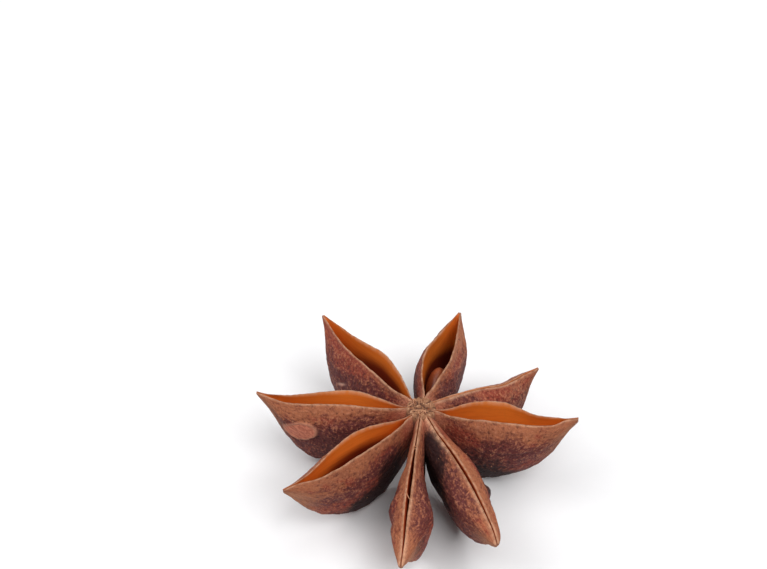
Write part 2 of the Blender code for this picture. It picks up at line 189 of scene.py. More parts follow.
FOLLICLES = (
    Follicle(
        "a", "full", 172.5, 19.7, 11.2, 4.8, 0.8, hook=0.8, lean=1,
        gape=((0, 0.05), (0.06, 0.05), (0.15, 0.39), (0.25, 0.76), (0.35, 1.02), (0.43, 1.07), (0.50, 0.99),
              (0.60, 0.88), (0.70, 0.70), (0.80, 0.52), (0.90, 0.24), (0.96, 0.06), (1, 0.03)),
        sway=((0, 0.28), (0.10, 0.34), (0.20, 0.10), (0.30, -0.27), (0.42, -0.52), (0.55, -0.33),
              (0.70, 0.12), (0.80, 0.36), (0.90, 0.26), (1, 0.0)),
        marks=marked(
            scar=[(1, 14.2, 3.7, 2.0, 1.35, 1.0, 15.0)],
            plum=[(1, 8.6, 3.4, 3.4, 1.5, 1.0), (1, 10.0, 6.8, 3.6, 2.6, 0.8),
                  (1, 6.0, 1.6, 2.2, 0.8, 0.8)],
            tan=[(1, 12.5, 1.0, 5.0, 1.0, 0.5)],
            red=[(1, 12.6, 7.5, 2.5, 1.6, 0.8), (1, 3.2, 1.0, 1.4, 1.0, 0.7)])),
    Follicle(
        "b", "swept", 216.5, 19.5, 11.95, 5.0, 1.2, plum=0.8, bow=((0, 0.0), (0.5, 0.15), (1, 0.0)),
        gape=((0, 0.05), (0.06, 0.05), (0.15, 0.43), (0.25, 0.97), (0.35, 1.33), (0.45, 1.42), (0.60, 1.24),
              (0.70, 0.92), (0.80, 0.56), (0.88, 0.18), (0.93, 0.05), (1, 0.04)),
        sway=((0, 0.25), (0.14, 0.46), (0.25, 0.22), (0.38, -0.05), (0.50, 0.05), (0.65, 0.40),
              (0.78, 0.68), (0.90, 0.36), (1, 0.10)),
        marks=marked(
            plum=[(1, 7.0, 3.3, 3.2, 1.5, 1.0), (1, 12.6, 4.4, 2.6, 0.9, 0.9)],
            tan=[(1, 9.8, 1.3, 3.6, 1.1, 1.6), (1, 17.0, 2.8, 3.0, 3.0, 1.3),
                 (1, 15.8, 6.2, 2.6, 2.0, 1.5), (1, 2.6, 2.4, 1.6, 3.4, 1.1)],
            red=[(1, 13.2, 6.4, 2.6, 2.0, 1.1), (1, 8.8, 5.2, 1.6, 1.6, 1.0),
                 (1, 2.4, 2.6, 1.4, 2.8, 1.2)],
            black=[(1, 5.8, 7.4, 2.8, 4.2, 1.2), (1, 9.4, 8.8, 2.2, 1.8, 1.5)],
            shade=[(-1, 8.0, 3.6, 8.0, 1.3, 0.9)])),
    Follicle(
        "c", "blunt", 264.0, 21.2, 11.7, 4.6, 2.7, lean=5, shoulder=0.24, rough=1.1, plum=0.7, slit=0.9,
        bow=((0, 0.05), (0.35, -0.20), (0.55, 0.10), (0.75, 0.50), (1, 0.20)),
        gape=((0, 0.05), (0.15, 0.05), (0.30, 0.12), (0.45, 0.22), (0.55, 0.22), (0.70, 0.16), (0.85, 0.09),
              (0.94, 0.05), (1, 0.04)),
        sway=((0, 0.05), (0.20, 0.02), (0.45, -0.02), (0.70, 0.02), (0.90, 0.20), (1, 0.22)),
        marks=marked(
            red=[(1, 15.0, 3.2, 3.6, 2.0, 1.0), (1, 3.5, 1.4, 1.6, 0.8, 0.7),
                 (-1, 3.5, 1.4, 1.6, 0.8, 0.9)],
            plum=[(1, 13.6, 1.4, 4.6, 1.1, 1.5), (-1, 13.6, 1.8, 4.0, 1.2, 1.1)],
            tan=[(-1, 4.6, 1.3, 3.0, 1.1, 1.7), (1, 19.0, 3.2, 2.2, 2.4, 1.3)],
            black=[(1, 17.5, 2.6, 2.4, 1.0, 0.5), (1, 6.0, 4.6, 6.0, 2.6, 1.2)],
            lump=[(-1, 12.8, 2.8, 1.1, 1.5, 0.35), (-1, 16.2, 2.2, 0.9, 1.2, 0.30),
                  (1, 13.0, 3.2, 1.2, 1.6, 0.30)])),
    Follicle(
        "d", "slim", 296.5, 19.6, 10.7, 4.6, 3.1, lean=0.5, shoulder=0.24, plum=1.1, slit=0.9,
        bow=((0, 0.0), (0.20, 0.0), (0.36, 0.62), (0.55, 0.55), (0.75, 0.1), (1, 0.1)),
        gape=((0, 0.05), (0.15, 0.05), (0.30, 0.12), (0.55, 0.15), (0.75, 0.10), (0.90, 0.05), (1, 0.04)),
        sway=((0, 0.05), (0.15, 0.10), (0.30, 0.40), (0.50, 0.73), (0.60, 0.80), (0.70, 0.76), (0.80, 0.68),
              (0.88, 0.58), (0.95, 0.42), (1, 0.18)),
        marks=marked(
            lump=[(1, 10.8, 4.6, 1.2, 1.3, 1.2)],
            black=[(1, 10.9, 4.8, 1.6, 1.5, 0.9), (-1, 5.6, 2.4, 2.8, 1.7, 1.9),
                   (-1, 6.5, 5.6, 4.2, 3.0, 1.2), (-1, 4.4, 0.8, 1.4, 0.8, 0.5)],
            plum=[(-1, 11.5, 1.8, 5.4, 1.7, 1.5), (-1, 4.8, 0.4, 2.4, 0.9, 1.3),
                  (1, 4.0, 0.2, 1.6, 0.8, 0.7)],
            tan=[(-1, 18.6, 2.4, 1.6, 1.8, 1.3), (1, 10.0, 0.5, 4.5, 0.9, 0.9)],
            red=[(-1, 14.0, 4.4, 2.6, 2.0, 0.5), (1, 3.6, 0.8, 2.0, 1.2, 0.7)])),
    Follicle(
        "e", "curved", 355.5, 18.5, 11.9, 5.2, 0.0, hook=1.4, bow=((0, 0.0), (0.5, 0.1), (1, 0.0)),
        gape=((0, 0.05), (0.06, 0.05), (0.15, 0.50), (0.25, 1.05), (0.33, 1.33), (0.45, 1.44), (0.50, 1.44),
              (0.60, 1.15), (0.70, 0.81), (0.80, 0.61), (0.86, 0.46), (0.91, 0.12), (0.94, 0.05), (1, 0.04)),
        sway=((0, -0.1), (0.13, -0.38), (0.25, 0.05), (0.40, 0.57), (0.50, 0.60), (0.60, 0.38),
              (0.72, -0.02), (0.83, -0.06), (0.92, 0.18), (1, 0.20)),
        marks=marked(
            plum=[(-1, 4.2, 0.9, 2.2, 0.8, 1.0), (-1, 10.5, 3.4, 3.2, 1.7, 0.4)],
            red=[(-1, 4.6, 2.9, 2.6, 2.0, 1.2), (-1, 12.4, 6.2, 2.6, 1.8, 0.8)],
            black=[(-1, 8.2, 6.6, 2.2, 2.0, 0.5), (-1, 8.8, 9.8, 3.0, 2.0, 1.3)],
            tan=[(-1, 11.5, 1.2, 6.0, 1.2, 0.7), (-1, 14.5, 4.9, 0.6, 0.45, 1.0)])),
    Follicle(
        "f", "full", 30.0, 16.2, 10.8, 4.4, 2.0, hook=0.8, rough=1.3, plum=0.6, slit=0.2,
        bow=((0, 0.0), (0.5, -0.5), (1, 0.0)),
        gape=((0, 0.05), (1, 0.05)),
        sway=((0, 0.05), (0.30, -0.07), (0.45, -0.16), (0.65, -0.60), (0.75, -0.42), (0.90, 0.03),
              (1, 0.05)),
        marks=marked(
            plum=[(-1, 5.0, 0.5, 3.0, 1.0, 0.8), (-1, 10.5, 2.6, 5.5, 2.6, 0.9)],
            net=[(-1, 12.6, 1.8, 2.0, 2.6, 0.25)],
            red=[(-1, 10.0, 0.6, 3.4, 1.6, 1.0)])),
    Follicle(
        "g", "full", 74.5, 17.35, 11.7, 5.5, 1.8, lean=-2, hollow=0.70, lining=0.85,
        bow=((0, 0.0), (0.5, 0.65), (1, 0.0)),
        gape=((0, 0.05), (0.06, 0.05), (0.15, 0.48), (0.25, 0.92), (0.35, 1.30), (0.47, 1.53), (0.55, 1.49),
              (0.65, 1.24), (0.75, 0.87), (0.85, 0.55), (0.95, 0.22), (1, 0.04)),
        sway=((0, 0.0), (0.15, 0.13), (0.30, 0.36), (0.45, 0.40), (0.55, 0.40), (0.70, 0.27), (0.80, 0.23),
              (0.90, 0.18), (1, 0.11)),
        marks=marked(
            plum=[(-1, 5.5, 2.2, 2.6, 1.3, 1.0), (-1, 6.6, 5.2, 3.4, 2.6, 1.8),
                  (1, 6.3, 2.6, 3.2, 2.4, 1.5)],
            red=[(-1, 7.2, 1.6, 3.0, 1.2, 0.6), (1, 5.5, 2.0, 3.5, 2.5, 1.4),
                 (-1, 6.0, 4.6, 4.0, 2.6, 0.9)],
            tan=[(-1, 10.8, 0.5, 4.0, 1.0, 0.9)],
            shade=[(-1, 8.5, 2.6, 6.5, 2.4, 1.0), (1, 10.5, 5.0, 4.2, 2.4, 0.9)])),
    Follicle(
        "h", "full", 128.0, 19.8, 11.8, 5.2, 1.5, lean=7, plum=1.6, lining=0.8,
        gape=((0, 0.05), (0.04, 0.05), (0.15, 0.66), (0.25, 1.09), (0.35, 1.30), (0.45, 1.51), (0.55, 1.38),
              (0.70, 0.95), (0.85, 0.53), (0.95, 0.20), (1, 0.04)),
        sway=((0, 0.15), (0.15, 0.13), (0.30, -0.18), (0.45, -0.37), (0.60, -0.03), (0.72, 0.17),
              (0.85, 0.07), (1, -0.08)),
        marks=marked(
            nick=[(1, 11.9, 4.6, 0.75, 0.16, 1.0, 35.0)],
            plum=[(1, 3.4, 0.8, 2.0, 0.9, 0.7), (1, 7.5, 2.6, 3.0, 2.4, 1.4),
                  (1, 15.5, 1.4, 4.5, 2.4, 0.7), (1, 8.5, 2.4, 3.0, 0.8, 0.5)],
            red=[(1, 13.0, 0.8, 7.0, 2.8, 1.2), (1, 17.5, 0.2, 3.0, 1.6, 0.8)],
            shade=[(-1, 7.0, 3.4, 8.0, 1.8, 1.3)])),
)

# The seed lies on edge in follicle g.
SEED_FOLLICLE = "g"
SEED_OUT = 7.4  # from the axis
SEED_ASIDE = -0.12  # from the body's middle, to the left when above 0
SEED_BELOW = 4.9  # below the lips
SEED_LENGTH = 5.4
SEED_HEIGHT = 4.2
SEED_THICKNESS = 2.2
SEED_PITCH = -4.0
SEED_FIT = 0.985  # size of the coat, as a share of the seed's

# Square soft lights round the pod: how wide each is, and where it hangs from the floor's middle, in metres.
LAMPS = {
    "back": (0.42, (0.30, 0.30, 0.48)),
    "front": (0.42, (0.24, -0.24, 0.50)),
    "side": (0.42, (-0.42, 0.0, 0.42)),
    "top": (0.60, (0.0, 0.0, 0.62)),
}
FLOOR_REACH = 1.2


def tint(red, green, blue):
    """The linear colour of three screen levels from 0 to 255."""
    levels = (v / 255 for v in (red, green, blue))
    return tuple(v / 12.92 if v <= 0.04045 else ((v + 0.055) / 1.055) ** 2.4 for v in levels)


# Settings -----------------------------------------------------------------------------------------------


def colour_setting(name, description, default):
    """A colour property."""
    return bpy.props.FloatVectorProperty(
        name=name, description=description, default=default, subtype="COLOR", size=3, min=0.0, max=1.0)


def length_setting(name, description, default):
    """A length property, in metres."""
    return bpy.props.FloatProperty(
        name=name, description=description, default=default, unit="LENGTH", subtype="DISTANCE", min=0.0)


def share_setting(name, description, default):
    """A plain factor."""
    return bpy.props.FloatProperty(
        name=name, description=description, default=default, subtype="FACTOR", min=0.0, max=10.0)


def power_setting(name, description, default):
    """A lamp's power, in watts."""
    return bpy.props.FloatProperty(
        name=name, description=description, default=default, unit="POWER", min=0.0)


class HuskLooks(bpy.types.PropertyGroup):
    """Colours and relief of the follicles and the hub."""

    # Tan is partly the skin's own colour and partly painted light, near the lips and on patches that lie in
    # shade.
    tan: colour_setting("Tan", "Dry high places of the skin, near the lips", tint(162, 98, 68))
    russet: colour_setting("Russet", "The skin's middle colour", tint(130, 64, 46))
    red: colour_setting("Red", "Reddish patches", tint(140, 58, 44))
    # Plum is partly the skin's own colour and partly painted shade low on the flanks.
    plum: colour_setting("Plum", "Purple patches low on the flanks", tint(92, 42, 43))
    # Painted shadow: the darkest colour, laid where the follicles shade each other and the floor, and on d's
    # dark knob.
    black: colour_setting("Black", "The darkest places", tint(34, 15, 16))
    # Partly pale dust and partly a painted highlight on the crests of the wrinkles.
    dust: colour_setting("Dust", "Pale dust on the crests of the wrinkles", tint(182, 118, 88))
    # Painted shade in the furrows between the wrinkles.
    furrow_shade: colour_setting("Crack", "Dark furrows between the wrinkles", tint(52, 25, 22))
    # Rare pale specks, partly dust and partly painted glints; this colour also paints the pale net and the
    # paler tips.
    fleck: colour_setting("Fleck", "Rare pale specks", tint(200, 144, 108))
    # The rim is partly its own pale dry edge and partly a painted highlight along the lip's crest.
    rim: colour_setting("Rim", "The thin dry edge of each lip", tint(224, 170, 136))
    haze: colour_setting("Haze", "Dull bloom on the plum skin", tint(124, 68, 66))
    glow: colour_setting("Glow", "Warm granules on the tan skin", tint(186, 112, 74))
    # The skin beside the hub takes its granules, and is partly painted light where that skin lies in shade.
    root: colour_setting("Root", "The skin beside the hub", tint(182, 116, 90))
    scar: colour_setting("Scar", "The oval scar on one flank", tint(168, 94, 74))
    scar_pale: colour_setting("Pale scar", "Lighter blotches in that scar", tint(206, 128, 100))
    scar_edge: colour_setting("Scar edge", "The raised edge round that scar", tint(206, 146, 118))
    nick: colour_setting("Nick", "The small pale nick on one flank", tint(206, 156, 136))
    lining: colour_setting("Lining", "The bright wall of the seed cavity", tint(222, 122, 42))
    # This colour paints the lining's faint streaks and also the painted shade that dulls a cavity lying in
    # shade.
    lining_streak_and_shade: colour_setting("Deep lining", "Streaks and duller parts of that wall", tint(176, 80, 30))
    # Painted shade far down in the cavity and on walls that lie in shade.
    shade: colour_setting("Shade", "The wall far down in the cavity", tint(104, 36, 18))
    # Painted shade inside a narrow suture.
    slit: colour_setting("Slit", "The inside of a narrow suture", tint(150, 52, 30))
    hub: colour_setting("Hub", "The fibrous hub", tint(160, 112, 80))
    hub_dull: colour_setting("Dull hub", "Duller parts of the hub", tint(140, 94, 66))
    hub_pale: colour_setting("Pale hub", "Knobs on the hub", tint(208, 164, 130))
    # Painted shade in the cracks between the hub's knobs.
    hub_crack_shade: colour_setting("Hub crack", "Cracks between those knobs", tint(72, 40, 30))
    strand: colour_setting("Strand", "The darker parts of the loose fibres", tint(176, 112, 76))
    folds: length_setting("Folds", "Height of the long folds in the skin", 0.10 * MM)
    wrinkles: length_setting("Wrinkles", "Height of the fine wrinkles between them", 0.05 * MM)
    lumps: length_setting("Lumps", "Height of the broad unevenness", 0.14 * MM)


class SeedLooks(bpy.types.PropertyGroup):
    """Colours of the seed."""

    coat: colour_setting("Coat", "The seed's dull coat", tint(158, 84, 52))
    coat_dark: colour_setting("Dark coat", "The darker end of the seed", tint(104, 48, 30))
    dust: colour_setting("Dust", "Pale dust on the coat", tint(196, 124, 84))


class StageLooks(bpy.types.PropertyGroup):
    """Floor, lights and camera."""

    floor: colour_setting("Floor", "The plain pale floor", (0.90, 0.90, 0.91))
    back: power_setting("Back light", "Soft light behind and to the right", 0.9)
    front: power_setting("Front light", "Soft light in front and to the right", 2.4)
    side: power_setting("Side light", "Soft light on the left", 1.8)
    top: power_setting("Top light", "Soft light overhead", 1.4)
    sky: share_setting("Sky", "Strength of the even light all round", 0.03)
    distance: length_setting("Distance", "Camera to the hub", 0.300)
    height: bpy.props.FloatProperty(
        name="Height", description="How high the camera stands, seen from the hub",
        default=math.radians(50), subtype="ANGLE", unit="ROTATION")
    lens: bpy.props.FloatProperty(
        name="Lens", description="Focal length", default=119.7, subtype="DISTANCE_CAMERA", unit="CAMERA")
    right: share_setting("Right", "Hub right of the picture's middle, as a share of its width", 0.0489)
    below: share_setting("Below", "Hub below the picture's middle, as a share of its width", 0.1597)


# Noise and curves ---------------------------------------------------------------------------------------


class Grain:
    """Smooth seeded noise in three dimensions, from about -1 to 1.

    Odd multiples of a follicle's number and side are added to the places read, so that no two look alike.
    """

    def __init__(self, seed):
        rng = np.random.default_rng(seed)
        self.order = np.tile(rng.permutation(256), 3)
        slopes = rng.normal(size=(256, 3))
        self.slopes = slopes / np.linalg.norm(slopes, axis=1, keepdims=True)

    def __call__(self, x, y, z=0.0):
        place = np.stack(np.broadcast_arrays(x, y, z), axis=-1).astype(float)
        cell = np.floor(place).astype(int)
        part = place - cell
        ease = part**3 * (part * (6 * part - 15) + 10)
        total = 0.0
        for corner in np.ndindex(2, 2, 2):
            at = (cell + corner) & 255
            pick = self.order[self.order[self.order[at[..., 0]] + at[..., 1]] + at[..., 2]]
            weight = np.prod(np.where(corner, ease, 1 - ease), axis=-1)
            total = total + weight * np.sum(self.slopes[pick] * (part - corner), axis=-1)
        return 1.6 * total


def ridged(value):
    """Turn noise into narrow crests: 1 along its zero lines, falling to about -1 between them."""
    return 1 - 2.6 * np.abs(value)


def ramp(low, high, value):
    """0 below low, 1 above high, and smooth between them; high may be the smaller."""
    t = np.clip((value - low) / (high - low), 0, 1)
    return t * t * (3 - 2 * t)


def bump(value, middle, spread):
    """A smooth bump of height 1."""
    return np.exp(-(((value - middle) / spread) ** 2))


def curve_slopes(points):
    """Slopes of a smooth curve through the points that never overshoots them."""
    rises = [(b[1] - a[1]) / (b[0] - a[0]) for a, b in zip(points, points[1:])]
    slopes = [rises[0]]
    for before, after in zip(rises, rises[1:]):
        slopes.append(0.0 if before * after <= 0 else 2 * before * after / (before + after))
    slopes.append(rises[-1])
    return np.array(slopes)


def curve_values(points, at):
    """Heights of the smooth curve through the points at an array of places."""
    slopes = curve_slopes(points)
    places = np.array([p[0] for p in points], float)
    heights = np.array([p[1] for p in points], float)
    span = np.clip(np.searchsorted(places, at, side="right") - 1, 0, len(points) - 2)
    length = places[span + 1] - places[span]
    t = (at - places[span]) / length
    ease = t * t * (3 - 2 * t)
    start = t * (1 - t) ** 2 * length * slopes[span]
    end = -t * t * (1 - t) * length * slopes[span + 1]
    return heights[span] + (heights[span + 1] - heights[span]) * ease + start + end


# Follicles ----------------------------------------------------------------------------------------------


class RingPlan:
    """The points round a section: right flank, left flank, left lip and wall, right wall and lip."""

    def __init__(self):
        down = np.linspace(0, 1, FLANK_POINTS) ** 1.15
        over = np.linspace(-1, 1, CREST_POINTS + 2)[1:-1]
        deep = np.linspace(0, 1, WALL_POINTS)
        parts = [
            ("flank", -1, down),
            ("flank", 1, down[:-1][::-1]),
            ("crest", 1, over),
            ("wall", 1, deep),
            ("wall", -1, deep[:-1][::-1]),
            ("crest", -1, over[::-1]),
        ]
        self.share = np.concatenate([p[2] for p in parts])
        self.side = np.concatenate([np.full(len(p[2]), p[1]) for p in parts])
        kinds = np.concatenate([np.full(len(p[2]), i) for i, p in enumerate(parts)])
        names = np.array([p[0] for p in parts])[kinds]
        self.flank = names == "flank"
        self.crest = names == "crest"
        self.wall = names == "wall"


PLAN = RingPlan()
WAVES = Grain(11)
SKIN = Grain(23)
STAINS = Grain(37)


def sections(follicle, index):
    """Each section's points in the follicle's own frame, and the fields that its finish comes from."""
    along = np.linspace(0, 1, STATIONS)[:, None]
    out = ROOT + (follicle.reach - ROOT) * along
    depth = follicle.depth * curve_values(KEELS[follicle.outline], along)
    half = follicle.width / 2 * curve_values(BODIES[follicle.outline], along)
    side = PLAN.side[None, :]
    share = PLAN.share[None, :]

    # The rims are a little ragged, less where they are shut.
    gape = np.maximum(GROOVE / 2, curve_values(follicle.gape, along))
    ragged = 0.05 * WAVES(out / 1.6, side * 7.3, index * 5.1)
    ragged = ragged + 0.04 * WAVES(out / 0.45, side * 3.7, index * 9.1)
    ragged = ragged * np.minimum(1, (gape - GROOVE / 2) / 0.3)
    smooth_gape = gape
    gape = gape + ragged
    lip = LIP * np.minimum(1, 0.3 + 0.9 * np.sin(math.pi * np.minimum(1.1 * along, 0.97)) ** 0.7)
    edge = gape + np.minimum(lip, LIP_SHARE * half)
    half = np.maximum(half, edge + 0.1 * np.minimum(1, 6 * (1 - along) + 0.2))

    # The flanks bulge out to the shoulder, and then run in to the keel.
    s = np.clip(share / UPPER_SHARE, 0, 1)
    turn = math.pi / 2 * np.clip((share - UPPER_SHARE) / (1 - UPPER_SHARE), 0, 1)
    high = share < UPPER_SHARE
    flank_y = np.where(high, edge + (half - edge) * np.sin(math.pi / 2 * s),
                       half * np.maximum(np.cos(turn), 0) ** FLANK_POWER)
    shoulder = follicle.shoulder
    flank_z = -depth * np.where(high, shoulder * s, shoulder + (1 - shoulder) * np.sin(turn) ** FLANK_POWER)

    # Walls of the seed cavity, and the rounded crest of each lip.
    open_share = np.minimum(1, gape / OPEN_ENOUGH)
    floor = np.maximum(GROOVE_DEPTH, np.minimum(DEEPEST_HOLLOW, follicle.hollow * open_share) * depth)
    turn = math.pi / 2 * share
    wall_z = -floor * np.sin(turn)
    wall_y = (smooth_gape + ragged * np.exp(wall_z / 0.3)) * np.maximum(np.cos(turn), 0) ** WALL_POWER
    crest_y = (edge + gape) / 2 - share * (edge - gape) / 2
    y = np.where(PLAN.flank, flank_y, np.where(PLAN.wall, wall_y, crest_y))
    z = np.where(PLAN.flank, flank_z, np.where(PLAN.wall, wall_z, 0.0))
    roundness = 0.3 * (edge - gape)
    z = z - roundness * np.where(PLAN.crest, 1 - np.sqrt(np.maximum(1 - share**2, 0)), np.exp(z / 0.25))
    uneven = 0.05 * (1 + WAVES(out / 1.7, side * 5.9, index * 7.7)) * np.exp(z / 0.8)
    z = z - uneven * np.minimum(1, half / 0.8)

    for mark in follicle.marks:
        if mark.kind == "lump":
            away = ((out - mark.out) / mark.length) ** 2 + ((z + mark.below) / mark.height) ** 2
            y = y + np.where(PLAN.flank & (side == mark.side), mark.amount * np.exp(-away), 0)

    keel = ramp(0.3, 1.0, -z / depth)
    roll = 0.30 * keel * WAVES(out / 2.4, side * 0.4, index * 3.3)
    z = z + roll * ramp(0.1, 0.3, along) * np.minimum(1, half)
    turned_up = np.maximum(0, (along - 0.62) / 0.38) ** 2
    lips = -follicle.drop * along**1.5 + follicle.hook * (turned_up - along**1.5)
    body = curve_values(follicle.bow, along)
    bow = body + (curve_values(follicle.sway, along) - body) * np.exp(z / LIP_SWAY)
    cos, sin = math.cos(math.radians(follicle.lean)), math.sin(math.radians(follicle.lean))
    across = bow + side * y * cos - z * sin
    up = lips + side * y * sin + z * cos
    points = np.stack(np.broadcast_arrays(out, across, up), -1)
    fields = {
        "along": along,
        "out": out,
        "around": (1 - share) * SKIN_SPAN * side,
        "below": -z,
        "share": share,
        "side": side,
        "size": half,
        "gape": gape,
    }
    return points, {key: np.broadcast_to(value, z.shape) for key, value in fields.items()}


def mark_amount(follicle, kind, fields, where=PLAN.flank):
    """How strongly the marks of one kind show at each point."""
    total = np.zeros(fields["out"].shape)
    for mark in follicle.marks:
        if mark.kind == kind:
            x, y = mark.shares(fields)
            on_side = where & (fields["side"] == mark.side)
            total = total + mark.amount * np.where(on_side, np.exp(-(x**2 + y**2)), 0)
    return total


def scar_shape(follicle, fields):
    """Distance field of an oval scar: below 1 inside it."""
    for mark in follicle.marks:
        if mark.kind == "scar":
            on_side = PLAN.flank & (fields["side"] == mark.side)
            return np.where(on_side, np.hypot(*mark.shares(fields)), FAR_OFF)
    return np.full(fields["out"].shape, FAR_OFF)


def surface_normals(points):
    """Unit normals of a grid of points that is closed round its second axis, pointing out of the flanks."""
    du = np.gradient(points, axis=0)
    dv = np.roll(points, -1, axis=1) - np.roll(points, 1, axis=1)
    normals = np.cross(dv, du)
    length = np.linalg.norm(normals, axis=-1, keepdims=True)
    return normals / np.maximum(length, 1e-9)


def skin_relief(follicle, index, fields, looks):
    """Height of the skin above its smooth form, in millimetres, and the masks that colour it.

    Each place given to a noise is divided by the length of that noise's grain, in millimetres.
    """
    x, y, z = fields["out"], fields["around"], index * 19.3
    share, along, below = fields["share"], fields["along"], fields["below"]

    warp = 0.55 * SKIN(x / 2.6, y / 1.7, z + 3.1)
    drift = y + warp
    folds = SKIN(x / 2.4, drift / 1.1, z)
    creases = ridged(SKIN(x / 1.5 + 40, drift / 1.2, z + 8.0))
    wrinkles = SKIN(x / 0.85, drift / 0.48, z + 5.0)
    fine = SKIN(x / 0.32, y / 0.25, z + 11.0)
    lumps = SKIN(x / 3.4, y / 3.0, z + 17.0) + 0.5 * SKIN(x / 1.5, y / 1.5, z + 29.0)

    rough = follicle.rough * ramp(0.2, 1.3, below) * (0.4 + 0.6 * ramp(0.10, 0.38, along))
    rough = rough * np.minimum(1, fields["size"] / 1.1) * np.where(PLAN.flank, 1, 0)
    keel = ramp(0.55, 1.0, share)
    coarse = rough * (0.65 + 0.8 * keel)
    height = looks.folds / MM * coarse * (1.1 * folds + 0.25 * creases)
    height = height + looks.wrinkles / MM * rough * (wrinkles + 0.6 * fine)
    height = height + looks.lumps / MM * coarse * lumps
    # This share of the wrinkles' height also drives the finish: pale on the crests, partly painted
    # highlight, and painted shade in the furrows.
    crest = rough * (0.5 * folds + 0.12 * creases + 0.6 * wrinkles + 0.6 * fine)

    # A fine ridge runs along each lip, with a shallow furrow between it and the rim.
    smooth = np.where(PLAN.flank, ramp(0.06, 0.2, along) * np.minimum(1, fields["size"] / 1.1), 0)
    line = 0.75 + 0.25 * SKIN(x / 2.0, fields["side"] * 2.0, z + 23.0)
    patchy = ramp(-0.4, 0.5, SKIN(x / 1.7, fields["side"] * 4.0, z + 31.0))
    ridge = smooth * patchy * bump(below, line, 0.16)
    height = height + 0.04 * ridge
    crest = crest + 0.35 * ridge

    # The wall of the cavity is smooth, with faint long streaks.
    streaks = SKIN(x / 3.0, y * 1.4, z + 41.0)
    height = height + np.where(PLAN.wall, 0.012 * streaks, 0)

    scar = scar_shape(follicle, fields)
    inside_scar = ramp(1.05, 0.9, scar)
    height = height * (1 - 0.85 * inside_scar)
    height = height + 0.09 * bump(scar, 1.02, 0.12) - 0.05 * bump(scar, 1.28, 0.12)
    crest = crest * (1 - 0.8 * inside_scar) + 0.8 * bump(scar, 1.02, 0.1) - 0.9 * bump(scar, 1.27, 0.1)
    nick = mark_amount(follicle, "nick", fields)
    height = height - 0.12 * nick
    masks = {
        "relief": np.clip(crest, -1, 1),
        "scar": inside_scar,
        "scar_edge": np.clip(0.55 * bump(scar, 1.03, 0.10), 0, 1),
        "nick": np.clip(1.3 * nick, 0, 1),
    }
    return height, masks


def skin_masks(follicle, index, fields):
    """Where the skin is tan, plum, red, painted shadow or pale; tan is partly painted light and plum partly
    painted shade.
    """
    x, y, z = fields["out"], fields["around"], index * 13.7
    share, along, below = fields["share"], fields["along"], fields["below"]
    broad = STAINS(x / 3.2, y / 2.2, z) + 0.5 * STAINS(x / 1.3, y / 0.9, z + 4)
    warm = STAINS(x / 2.4, y / 1.8, z + 21) + 0.5 * STAINS(x / 0.9, y / 0.8, z + 27)
    patchy = STAINS(x / 1.9, y / 1.1, z + 9) + 0.7 * STAINS(x / 0.6, y / 0.4, z + 14)
    lip_zone = bump(below, 0.0, 1.9)

    painted = mark_amount(follicle, "red", fields)
    red = 0.9 * ramp(0.0, 0.8, warm) * ramp(0.03, 0.15, share) + painted
    # Paler near the lips and darker low on the flanks: partly the skin's own colours and partly painted
    # light and shade.
    tan = 0.10 + 0.62 * lip_zone - 0.30 * ramp(0.2, 0.7, share) + 0.35 * patchy
    tan = tan + 0.15 * ramp(0.70, 1.0, along)
    tan = tan + mark_amount(follicle, "tan", fields) * (1.0 + 0.3 * patchy)
    # Plum rises low on the flanks, partly as painted shade.
    plum = 0.35 + 0.50 * ramp(0.10, 0.50, share) + 0.45 * broad - 0.55 * lip_zone
    plum = plum * (1 - 0.5 * ramp(0.75, 1.0, along)) * (1 - 0.6 * ramp(0.22, 0.08, along))
    plum = follicle.plum * plum + mark_amount(follicle, "plum", fields) * (0.9 + 0.4 * patchy)
    plum = plum * (1 - 0.6 * np.clip(painted, 0, 1)) * (1 - 0.4 * ramp(0.9, 1.0, share))
    # Painted shadow where the follicles shade each other and the floor, and the dark of d's knob.
    black = mark_amount(follicle, "black", fields) * (1.15 + 0.4 * patchy)
    web = ridged(STAINS(x / 0.45, y / 0.45, z + 33))
    return {
        "tan": np.clip(tan, 0, 1),
        "plum": np.clip(plum, 0, 1),
        "red": np.clip(red, 0, 1),
        "black": np.clip(black, 0, 1),
        "net": np.clip(mark_amount(follicle, "net", fields) * ramp(0.2, 0.9, web), 0, 1),
    }


def lip_masks(follicle, index, fields):
    """The thin rim of the lips, a pale dry edge and partly a painted highlight; the paler root, partly
    painted light; the paler undersides of the tips; and the lining with its painted shade.
    """
    out, along, below = fields["out"], fields["along"], fields["below"]
    near_edge = bump(below, 0.0, 0.14 + 0.12 * ramp(0.40, 0.15, along))
    # The pale rim is partly a painted highlight along the crest.
    rim = np.where(PLAN.crest, 1.0, near_edge)
    worn = ramp(-0.50, 0.25, STAINS(out / 0.55, fields["side"] * 3.1, index * 2.9))
    rim = rim * ramp(0.01, 0.05, along) * (0.45 + 0.55 * worn)
    walls = np.where(PLAN.wall, 1.0, 0.0)
    # Painted shade: darker far down in the cavity and where the shade marks lie on its walls.
    shade = 0.9 * ramp(3.2, 6.0, below) + mark_amount(follicle, "shade", fields, PLAN.wall)
    return {
        "rim": rim,
        # The root is partly painted light on near-hub skin that lies in shade.
        "root": np.where(PLAN.wall, 0.0, ramp(3.8, 1.8, out) * bump(below, 0.0, 2.8)),
        "dry": np.where(PLAN.flank, ramp(0.74, 0.96, along) * ramp(0.15, 0.60, PLAN.share), 0.0),
        "inside": walls + np.where(PLAN.crest, ramp(-0.2, 0.9, PLAN.share), 0.0),
        "shade": np.clip(shade, 0, 1) * walls,
        # Painted shade inside a narrow suture.
        "slit": follicle.slit * ramp(0.42, 0.22, fields["gape"]) * walls,
    }


